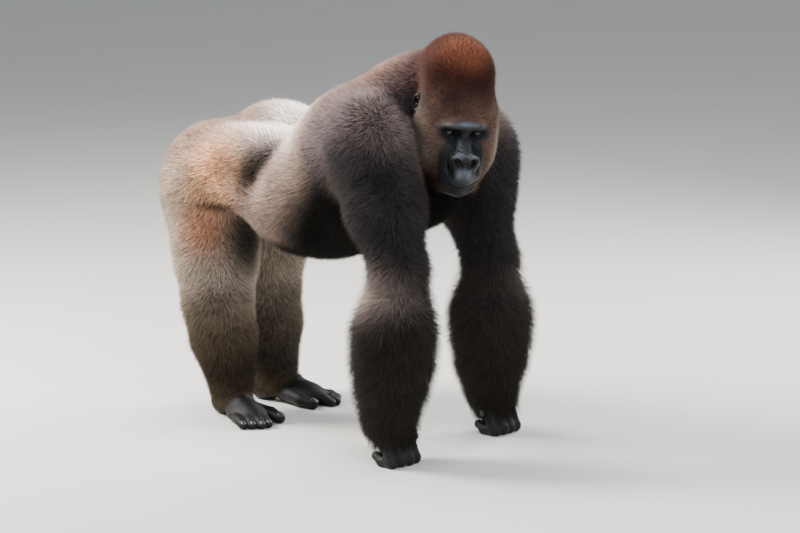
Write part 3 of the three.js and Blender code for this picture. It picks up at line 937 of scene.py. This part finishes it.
def skin_paint():
    """Bare skin, creased and softly glossy, and the darker skin and under-hair below the coat, darkened as
    painted shade between the tufts.
    """
    paint = Paint("gorilla_skin")
    bare = paint.amount("bare")
    mottle = paint.noise(38, 4)
    pores = paint.noise(900, 3)
    edges = {"feature": "DISTANCE_TO_EDGE"}
    creases = paint.node("ShaderNodeTexVoronoi", edges, Vector=paint.place(), Scale=260)
    colour = paint.scaled(paint.colour("tint"), paint.clamp(mottle, 0.3, 0.75, 0.75, 1.35))
    height = bare * (paint.clamp(creases, 0, 0.25) * 0.6 + pores * 0.5) + (1 - bare) * paint.noise(420, 3)
    gloss = paint.clamp(mottle + pores * 0.4, 0.4, 1.0, 0.4, 0.58)
    return paint.surface(
        Base_Color=colour,
        Roughness=bare * gloss + (1 - bare) * 0.85,
        Normal=paint.bump(height, 0.5, 0.0012),
        Specular_IOR_Level=0.2,
    )


def coat_paint():
    """Hair: darker at the root, as painted shade deep in the coat, paler at the tip, and a little different
    in each tuft.
    """
    paint = Paint("gorilla_coat")
    along = paint.amount("along")
    chance = paint.amount("chance")
    # Darker towards the root: painted shade deep in the coat
    depth = paint.clamp(along, 0, 0.8, 0.3, 1.2)
    grizzle = paint.clamp(chance, 0.2, 0.55, 0.4, 1.5)
    colour = paint.scaled(paint.colour("tint"), depth * grizzle)
    return paint.surface(Base_Color=colour, Roughness=0.7, Specular_IOR_Level=0.12)


def eye_paint(colours):
    """A dark, wet eye: pupil, reddish-brown iris and a dark brown white."""
    paint = Paint("gorilla_eye")
    iris = tuple(colours.iris)
    dim = tuple(0.25 * part for part in iris)
    pupil, white = (0, 0, 0), (0.012, 0.008, 0.006)
    stops = [(0, pupil), (0.13, pupil), (0.16, iris), (0.24, iris), (0.29, dim), (0.34, white)]
    streaks = paint.noise(900, 3)
    off_axis = paint.amount("off_axis") + streaks * 0.02 - 0.01
    ring = paint.node("ShaderNodeValToRGB", {"stops": stops}, off_axis)
    colour = paint.scaled(ring, paint.clamp(streaks, 0.3, 0.7, 0.6, 1.3))
    return paint.surface(Base_Color=colour, Roughness=0.15, Coat_Weight=0.3, Coat_Roughness=0.05)


def nail_paint(colours):
    """Dark horn with fine lengthwise ridges and a dull shine."""
    paint = Paint("gorilla_nail")
    grain = paint.noise(600, 2)
    dark, pale = (tuple(factor * part for part in colours.nail) for factor in (0.6, 1.3))
    return paint.surface(
        Base_Color=paint.mix(grain, dark, pale),
        Roughness=paint.clamp(grain, 0.3, 0.7, 0.3, 0.5),
        Normal=paint.bump(grain, 0.25, 0.0004),
    )


# ---------------------------------------------------------------- operators


class GORILLA_OT_skin(bpy.types.Operator):
    """Makes the skin of the whole body, with the folds of the face, and its ears, hands and feet"""

    bl_idname = "gorilla.skin"
    bl_label = "Skin"

    UNDER_COAT = 0.5  # how bright the skin below the coat is beside the coat: painted shade between the tufts

    @staticmethod
    def first_net(flesh):
        """The skin as squares, smallest round the face, the hands and the feet."""
        axes = [
            ticks((-600, 360, 9), (360, 480, 4), (480, 612, 3)),
            ticks((-375, -180, 7), (-180, 112, 3.2), (112, 375, 7)),
            ticks((-4, 132, 4), (132, 704, 9), (704, 984, 3.2), (984, 1160, 7)),
        ]
        field, depth = flesh.on_grid(axes)
        grid = np.stack(np.meshgrid(*axes, indexing="ij"), axis=-1)
        x, y, z = np.moveaxis(grid, -1, 0)
        face = (x > 400) & (y < 130) & (z > 690) & (z < 1000)
        close = (field < 10) & (field > -60) & (face | (z < 190))
        field += depth
        field[close] = skin_level(flesh, grid[close])
        outside = 5
        field[:, :, 0] = outside  # the lowest layer, so that soles and knuckles close at the ground
        return net(field, axes)

    def execute(self, context):
        flesh = gorilla_flesh()
        skin = new_object("skin", *self.first_net(flesh))
        place_all(skin.data, press_on(flesh, places_of(skin.data), 1))
        refine(skin, flesh, fine_parts)
        refine(skin, flesh, finest_parts)

        spots = places_of(skin.data)
        _, _, regions = flesh.at(spots)
        bare = bareness(spots, regions)
        colours = context.scene.gorilla_colours
        # Below the coat, the coat's colours darkened as painted shade between the tufts
        under = coat_colours(spots, regions, colours) * self.UNDER_COAT
        tint = under + (bare_colours(spots, colours) - under) * bare[:, None]
        give(skin.data, "tint", tint)
        give(skin.data, "bare", bare)
        skin.data.materials.append(skin_paint())
        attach(skin, "root")
        limbs = ("upper_arm", "forearm", "hand", "thigh", "shank", "foot", "ear")
        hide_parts("head", "neck", "torso", *(f"{part}_{side}" for part in limbs for side in SIDES))
        return {"FINISHED"}


class GORILLA_OT_eyes(bpy.types.Operator):
    """Makes the two eyes, each with its clear bulge over the iris"""

    bl_idname = "gorilla.eyes"
    bl_label = "Eyes"

    def execute(self, context):
        material = eye_paint(context.scene.gorilla_colours)
        for name, side in SIDES.items():
            shape = bmesh.new()
            bmesh.ops.create_uvsphere(shape, u_segments=40, v_segments=40, radius=EYE_RADIUS * MM)
            mesh = mesh_of(f"eyeball_{name}", shape)
            spots = places_of(mesh)
            off_axis = np.arccos(np.clip(spots[:, 2] / EYE_RADIUS, -1, 1)) / math.pi
            spots *= 1 + 0.09 * smooth(0.26, 0.05, off_axis)[:, None]
            give(mesh, "off_axis", off_axis)
            gaze = Vector(HEAD_AXES @ point(1, 0.02 * side, -0.02))
            turn = np.array(gaze.to_track_quat("Z", "Y").to_matrix())
            centre = from_head(EYE_PLACE[0], side * EYE_PLACE[1], EYE_PLACE[2])
            place_all(mesh, spots @ turn.T + centre)
            mesh.shade_smooth()
            mesh.materials.append(material)
            eye = link(f"eyeball_{name}", mesh)
            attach(eye, "root")
            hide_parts(f"eye_{name}")
        return {"FINISHED"}


def nail_axes(along, facing):
    """A nail's own axes: lengthwise, across and out of the finger."""
    z = facing / np.linalg.norm(facing)
    x = along - z * (along @ z)
    x /= np.linalg.norm(x)
    return np.stack([x, np.cross(z, x), z], axis=1)


def hand_nails(side, joints):
    """Where each nail of a hand lies: its middle, axes and half sizes."""
    place = by_hand(side, joints)
    size = (8, 8, 2.4)
    yield place(31, -73, 68), nail_axes(point(0.3, 0, -0.95), point(0.95, 0, 0.3)), size
    for _, _, bend, tip in fingers(place):
        along = tip - bend
        facing = point(-along[2], 0, along[0])
        facing /= np.linalg.norm(facing)
        yield tip + facing * 11, nail_axes(along, facing), size


def foot_nails(side, joints):
    """Where each nail of a foot lies: its middle, axes and half sizes. The big toe's comes first."""
    for i, (root, _, tip) in enumerate(toes(by_foot(side, joints))):
        along = (tip - root) * (1, 1, 0)
        along /= np.linalg.norm(along)
        facing = point(along[0] * 0.5, along[1] * 0.5, 0.87)
        size = (8, 7.5, 2.4) if i else (11, 11, 2.6)
        middle = tip + facing / np.linalg.norm(facing) * (11 if i else 15)
        yield middle, nail_axes(along * (1, 1, 0) + point(0, 0, -0.6), facing), size


class GORILLA_OT_nails(bpy.types.Operator):
    """Makes the nails of the hands and feet: short dark plates, arched across"""

    bl_idname = "gorilla.nails"
    bl_label = "Nails"

    def execute(self, context):
        material = nail_paint(context.scene.gorilla_colours)
        for name, side in SIDES.items():
            sets = {
                "hand": (hand_nails(side, JOINTS[name]), ["thumb"] + [f"finger_{i}" for i in range(1, 5)]),
                "foot": (foot_nails(side, JOINTS[name]), [f"toe_{i}" for i in range(1, 6)]),
            }
            for limb, (frames, parts) in sets.items():
                spots, faces = [], []
                for middle, axes, size in frames:
                    plate, squares = self.plate(size)
                    faces.append(squares + sum(len(part) for part in spots))
                    spots.append(plate @ axes.T + middle)
                nails = new_object(f"nails_{limb}_{name}", np.concatenate(spots), np.concatenate(faces))
                nails.data.materials.append(material)
                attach(nails, "root")
                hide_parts(*(f"nail_{part}_{name}" for part in parts))
        return {"FINISHED"}

    @staticmethod
    def plate(size):
        """A closed plate in squares: a rounded box, arched across and blunt at its free edge."""
        steps = 8
        roundness = 3.0
        faces, index = [], {}
        for axis, end, i, j in product(range(3), (-1, 1), range(steps), range(steps)):
            ring = []
            for di, dj in ((0, 0), (1, 0), (1, 1), (0, 1)):
                corner = [0, 0, 0]
                corner[axis] = end
                corner[(axis + 1) % 3] = 2 * (i + di) / steps - 1
                corner[(axis + 2) % 3] = 2 * (j + dj) / steps - 1
                ring.append(index.setdefault(tuple(round(part, 4) for part in corner), len(index)))
            faces.append(ring if end > 0 else ring[::-1])
        cube = np.array(list(index), float)
        cube /= (np.abs(cube) ** roundness).sum(1, keepdims=True) ** (1 / roundness)
        plate = cube * size
        plate[:, 2] -= (plate[:, 1] / size[1]) ** 2 * size[2] * 0.9
        return plate, np.array(faces)


# ---------------------------------------------------------------- coat


def lie_of(spots, regions):
    """The way the hair lies in each place, before it is laid along the skin."""
    away_from_nose = spots - from_head(*LAID_FROM)
    away_from_nose /= np.linalg.norm(away_from_nose, axis=1, keepdims=True)
    ways = {
        "head": (0, 0, 0), "neck": (-0.75, 0, -0.65), "torso": (-0.75, 0, -0.65),
        "upper_arm": (-0.2, 0, -1), "forearm": (-0.35, 0, -0.6), "hand": (0.3, 0, -1),
        "thigh": (-0.25, 0, -1), "shank": (-0.2, 0, -1), "foot": (1, 0, -0.3), "ear": (-1, 0, 0),
    }
    table = np.array([ways[name] for name in REGIONS])
    return regions @ table + away_from_nose * share_of(regions, "head")[:, None]


def sample(skin, wanted, chance):
    """Roots spread evenly over a mesh: wanted gives how many there are to a square millimetre."""
    mesh = skin.data
    mesh.calc_loop_triangles()
    corners = np.empty(len(mesh.loop_triangles) * 3, np.int32)
    mesh.loop_triangles.foreach_get("vertices", corners)
    corners = corners.reshape(-1, 3)
    spots = places_of(mesh)
    a, b, c = (spots[corners[:, i]] for i in range(3))
    area = np.linalg.norm(np.cross(b - a, c - a), axis=1) / 2
    share = wanted[corners].mean(1) * area
    total = np.cumsum(share)
    picks = np.searchsorted(total, np.arange(chance.uniform(), total[-1], 1.0))
    r, s = chance.uniform(size=(2, len(picks)))
    flip = r + s > 1
    r[flip], s[flip] = 1 - r[flip], 1 - s[flip]
    weights = np.stack([1 - r - s, r, s], axis=1)
    return corners[picks], weights


def way_of(lie, normals, lift):
    """The way each tuft points: laid along the skin, then lifted off it."""
    lie = lie - normals * (lie * normals).sum(1, keepdims=True)
    lie /= np.maximum(np.linalg.norm(lie, axis=1, keepdims=True), 1e-6)
    return lie * np.cos(lift)[:, None] + normals * np.sin(lift)[:, None]


def at_roots(values, corners, weights):
    """What a mesh's values come to at the roots, from the corners of the triangles that they stand in."""
    if values.ndim == 1:
        return (values[corners] * weights).sum(1)
    return (values[corners] * weights[..., None]).sum(1)


def tufts(roots, normals, way, long, wide, chance):
    """Points and triangles of pointed tufts, and how far along its tuft each point lies. Each tuft has three
    points just under the skin and one at its tip."""
    count = len(roots)
    side = np.cross(normals, way)
    side /= np.maximum(np.linalg.norm(side, axis=1, keepdims=True), 1e-6)
    start = roots - normals * 1.5
    across = np.cross(side, way)
    roll = chance.uniform(0, 2 * math.pi, count)
    ring = []
    for k in range(3):
        turn = roll + k * 2 * math.pi / 3
        off = side * np.cos(turn)[:, None] + across * np.sin(turn)[:, None]
        ring.append(start + off * (wide / 2)[:, None])
    spots = np.stack(ring + [start + way * long[:, None]], axis=1)
    pattern = np.array([(0, 1, 3), (1, 2, 3), (2, 0, 3)])
    faces = (np.arange(count)[:, None, None] * 4 + pattern[None]).reshape(-1, 3)
    return spots.reshape(-1, 3), faces, np.array([0, 0, 0, 1.0])


def unwrap(roots, normals):
    """Where each root lies on a flat map of the skin: six charts, one for each way the skin mostly faces."""
    axis = np.abs(normals).argmax(1)
    sign = normals[np.arange(len(normals)), axis] > 0
    chart = axis * 2 + sign
    size = np.ptp(roots, axis=0).max() * 1.02
    low = roots.min(0)
    flat = np.empty((len(roots), 2))
    for across in range(3):
        mine = axis == across
        kept = [i for i in range(3) if i != across]
        flat[mine] = (roots[mine][:, kept] - low[kept]) / size
    columns, rows = 3, 2
    margin = 0.02
    flat = flat * (1 - 2 * margin) + margin
    return (flat + np.stack([chart % columns, chart // columns], axis=1)) / (columns, rows)


class GORILLA_OT_coat(bpy.types.Operator):
    """Grows the coat over the skin, as tufts that follow the lie of the hair"""

    bl_idname = "gorilla.coat"
    bl_label = "Coat"

    PATCH = 0.003  # across a tuft's place on the flat map of the skin
    MOST = 64000  # tufts in one piece
    LONG = 35  # tufts over this length are kept from standing out too far
    PROUD = 20  # how far out of the flesh their tips may reach
    LOWEST = 0.3  # above the ground

    @staticmethod
    def hair_over(mesh, flesh, colours):
        """What every point of the skin is like: where it is, how it faces and what hair it bears."""
        spots = places_of(mesh)
        normals = np.empty(len(spots) * 3, np.float32)
        mesh.vertices.foreach_get("normal", normals)
        _, depth, regions = flesh.at(spots)
        bare = bareness(spots, regions)
        regions /= np.maximum(regions.sum(1, keepdims=True), 1e-6)
        return {
            "root": spots,
            "normal": normals.reshape(-1, 3).astype(float),
            "depth": depth,
            "bare": bare,
            "share": regions,
            "tint": coat_colours(spots, regions, colours),
            "lift": regions @ np.radians([LIFTS[name] for name in REGIONS]),
        }

    def execute(self, context):
        coat = context.scene.gorilla_coat
        flesh = gorilla_flesh()
        chance = np.random.default_rng(coat.seed)
        skin = bpy.data.objects["skin"]
        over = self.hair_over(skin.data, flesh, context.scene.gorilla_colours)
        head, forearm = (share_of(over["share"], name) for name in ("head", "forearm"))
        gap = between(coat.spacing, coat.head_spacing, head) / MM
        wanted = smooth(0.85, 0.5, over["bare"]) / gap ** 2 * (1 + 0.4 * forearm)
        corners, weights = sample(skin, wanted, chance)
        hair = {name: at_roots(values, corners, weights) for name, values in over.items()}
        hair["normal"] /= np.linalg.norm(hair["normal"], axis=1, keepdims=True)
        self.comb(hair, flesh, coat, chance)

        material = coat_paint()
        for name, part in self.parts(hair["root"], hair["share"]):
            shape = tufts(*(hair[key][part] for key in ("root", "normal", "way", "long", "wide")), chance)
            self.piece(name, shape, {key: values[part] for key, values in hair.items()}, material)
        return {"FINISHED"}

    def comb(self, hair, flesh, coat, chance):
        """Settles which way each tuft points, how long and wide it is, and how pale."""
        root, share = hair["root"], hair["share"]
        head, forearm = (share_of(share, name) for name in ("head", "forearm"))
        cuff = smooth(240, 130, root[:, 2]) * forearm  # above the hands, where the hair lies closer
        count = len(root)
        swirl, lock = (
            np.stack([ripple(root, scale, seed + i) for i in range(3)], axis=1)
            for scale, seed in ((60, 31), (9, 41))
        )
        drift = chance.normal(size=(count, 3)) * (0.24 + 0.12 * forearm[:, None])
        lie = lie_of(root, share) + swirl * 0.16 + lock * 0.14 + drift
        lift = hair["lift"] + chance.normal(size=count) * 0.2 + ripple(root, 12, 51) * 0.1
        lift = np.clip(lift - 0.4 * cuff, 0.15, 1.25 - 0.7 * cuff)

        reach = np.maximum(hair["depth"], 3) * (1 - hair["bare"]) + 1.5
        uneven = 1 + coat.unevenness * chance.uniform(-1, 0.35, count)
        long = (reach / np.sin(lift) + 1.5) * uneven
        long = np.minimum(long, reach * 2.6 + 2) * (1 + 0.3 * cuff)
        stray = chance.uniform(size=count) < 0.04 + 0.12 * forearm
        long *= 1 + (0.2 + 0.25 * forearm) * stray * (1 - cuff)
        lift += 0.12 * stray
        way = way_of(lie, hair["normal"], lift)
        far = np.flatnonzero(long > self.LONG)
        for _ in range(3):
            proud = flesh.at(root[far] + way[far] * long[far, None])[0] - self.PROUD
            long[far] -= np.clip(proud * 1.5, 0, long[far] / 3)

        wide = coat.width / MM * (0.55 + 0.45 * smooth(4, 20, reach)) * chance.uniform(0.7, 1.25, count)
        hair["way"], hair["long"], hair["wide"] = way, long, wide * (1 - 0.25 * head)
        hair["chance"] = chance.uniform(size=count)

    def parts(self, root, share):
        """The name of each piece and the tufts in it: a region's, side by side, and in rows where many."""
        kind = share.argmax(1)
        side = np.where(root[:, 1] > 0, "left", "right")
        for index, region in enumerate(REGIONS):
            for place in ("",) if region in ("head", "neck") else ("left", "right"):
                mine = np.flatnonzero((kind == index) & ((side == place) | (place == "")))
                order = mine[np.argsort(root[mine, 0], kind="stable")]
                rows = np.array_split(order, max(1, math.ceil(len(order) / self.MOST)))
                for number, row in enumerate(rows, 1):
                    words = ["coat", region, place, str(number) if len(rows) > 1 else ""]
                    if len(row):
                        yield "_".join(filter(None, words)), row

    def piece(self, name, shape, hair, material):
        """One object of tufts, with the colours of its coat and its flat map."""
        spots, faces, along = shape
        spots[:, 2] = np.maximum(spots[:, 2], self.LOWEST)
        each = len(along)
        thing = new_object(name, spots, faces)
        mesh = thing.data
        give(mesh, "tint", np.repeat(hair["tint"], each, axis=0))
        give(mesh, "chance", np.repeat(hair["chance"], each))
        give(mesh, "along", np.tile(along, len(hair["tint"])))
        layer = mesh.uv_layers.new(name="OFBake")
        turn = np.linspace(0, 2 * math.pi, each, endpoint=False)
        petal = np.stack([np.cos(turn), np.sin(turn)], axis=1) * self.PATCH / 2
        petal[-1] = 0
        flat = unwrap(hair["root"], hair["normal"])
        around = (flat[:, None] + petal[None]).reshape(-1, 2)
        layer.data.foreach_set("uv", around[faces.ravel()].astype(np.float32).ravel())
        mesh.materials.append(material)
        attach(thing, "root")


# ---------------------------------------------------------------- stage


class GORILLA_OT_stage(bpy.types.Operator):
    """Sets up the pale floor, the soft lamps and the camera"""

    bl_idname = "gorilla.stage"
    bl_label = "Stage"

    AIM = (0, 0, 0.6)
    FRAME_OFFSET = (0.1825, -0.1427)  # how far right of that place and over it the camera points
    LENS = 135.4
    FLOOR_RADIUS = 30

    def execute(self, context):
        stage = context.scene.gorilla_stage
        back = Vector((
            math.sin(stage.azimuth) * math.cos(stage.elevation),
            -math.cos(stage.azimuth) * math.cos(stage.elevation),
            math.sin(stage.elevation),
        ))
        right = Vector((math.cos(stage.azimuth), math.sin(stage.azimuth), 0))
        up = back.cross(right)
        eye = Vector(self.AIM) + back * stage.distance
        aim = Vector(self.AIM) + right * self.FRAME_OFFSET[0] + up * self.FRAME_OFFSET[1]
        camera = link("camera", bpy.data.cameras.new("camera"))
        camera.data.lens = self.LENS
        camera.location = eye
        camera.rotation_euler = (aim - eye).to_track_quat("-Z", "Y").to_euler()
        context.scene.camera = camera

        self.floor(stage, self.FLOOR_RADIUS)
        ahead = Vector((back.x, back.y, 0)).normalized()
        middle = Vector((0, 0, 0.7))
        lamps = {
            "key": (middle - right * 3.1 - ahead * 0.5 + Vector((0, 0, 2.3)), 1.6, (1, 0.95, 0.88)),
            "top": (middle - right * 0.6 - ahead * 1.2 + Vector((0, 0, 3.4)), 1.6, (1, 0.96, 0.92)),
            "fill": (middle + right * 1.2 + ahead * 4 + Vector((0, 0, 2.2)), 2.5, (0.86, 0.92, 1)),
            "rim": (middle + right * 2.6 - ahead * 2.2 + Vector((0, 0, 1.6)), 1.5, (0.97, 1, 0.95)),
        }
        for name, (place, size, colour) in lamps.items():
            self.lamp(name, place, middle, size, getattr(stage, name), colour)
        world = bpy.data.worlds.new("studio")
        world.use_nodes = True
        light = world.node_tree.nodes["Background"]
        light.inputs["Color"].default_value = (0.9, 0.94, 1, 1)
        light.inputs["Strength"].default_value = stage.sky
        context.scene.world = world
        return {"FINISHED"}

    @staticmethod
    def floor(stage, radius):
        shape = bmesh.new()
        bmesh.ops.create_circle(shape, cap_ends=True, segments=96, radius=radius)
        floor = link("floor", mesh_of("floor", shape))
        paint = Paint("studio_floor")
        cloud = paint.noise(2.5, 3)
        pale, dim = tuple(stage.floor), tuple(0.94 * part for part in stage.floor)
        floor.data.materials.append(paint.surface(Base_Color=paint.mix(cloud, dim, pale), Roughness=0.75))

    @staticmethod
    def lamp(name, place, aim, size, power, colour):
        lamp = bpy.data.lights.new(name, "AREA")
        lamp.shape = "DISK"
        lamp.size = size
        lamp.energy = power
        lamp.color = colour
        thing = link(name, lamp)
        thing.location = place
        thing.rotation_euler = (aim - place).to_track_quat("-Z", "Y").to_euler()


class GORILLA_PT_panel(bpy.types.Panel):
    """Buttons for the pieces and the stage, and the settings they are made from"""

    bl_idname = "GORILLA_PT_panel"
    bl_label = "Gorilla"
    bl_space_type = "VIEW_3D"
    bl_region_type = "UI"
    bl_category = "Gorilla"

    def draw(self, context):
        for operator in OPERATORS:
            self.layout.operator(operator.bl_idname)
        for group in (context.scene.gorilla_colours, context.scene.gorilla_coat, context.scene.gorilla_stage):
            box = self.layout.box()
            for name in group.__annotations__:
                box.prop(group, name)


GROUPS = {"gorilla_colours": GorillaColours, "gorilla_coat": GorillaCoat, "gorilla_stage": GorillaStage}
OPERATORS = (GORILLA_OT_stage, GORILLA_OT_skin, GORILLA_OT_eyes, GORILLA_OT_nails, GORILLA_OT_coat)


def register():
    for kind in (*GROUPS.values(), *OPERATORS, GORILLA_PT_panel):
        bpy.utils.register_class(kind)
    for name, group in GROUPS.items():
        setattr(bpy.types.Scene, name, PointerProperty(type=group))


def unregister():
    for name in GROUPS:
        delattr(bpy.types.Scene, name)
    for kind in (GORILLA_PT_panel, *OPERATORS[::-1], *list(GROUPS.values())[::-1]):
        bpy.utils.unregister_class(kind)


def main():
    register()
    bpy.ops.gorilla.stage()
    bpy.ops.gorilla.skin()
    bpy.ops.gorilla.eyes()
    bpy.ops.gorilla.nails()
    bpy.ops.gorilla.coat()


if __name__ == "__main__":
    main()
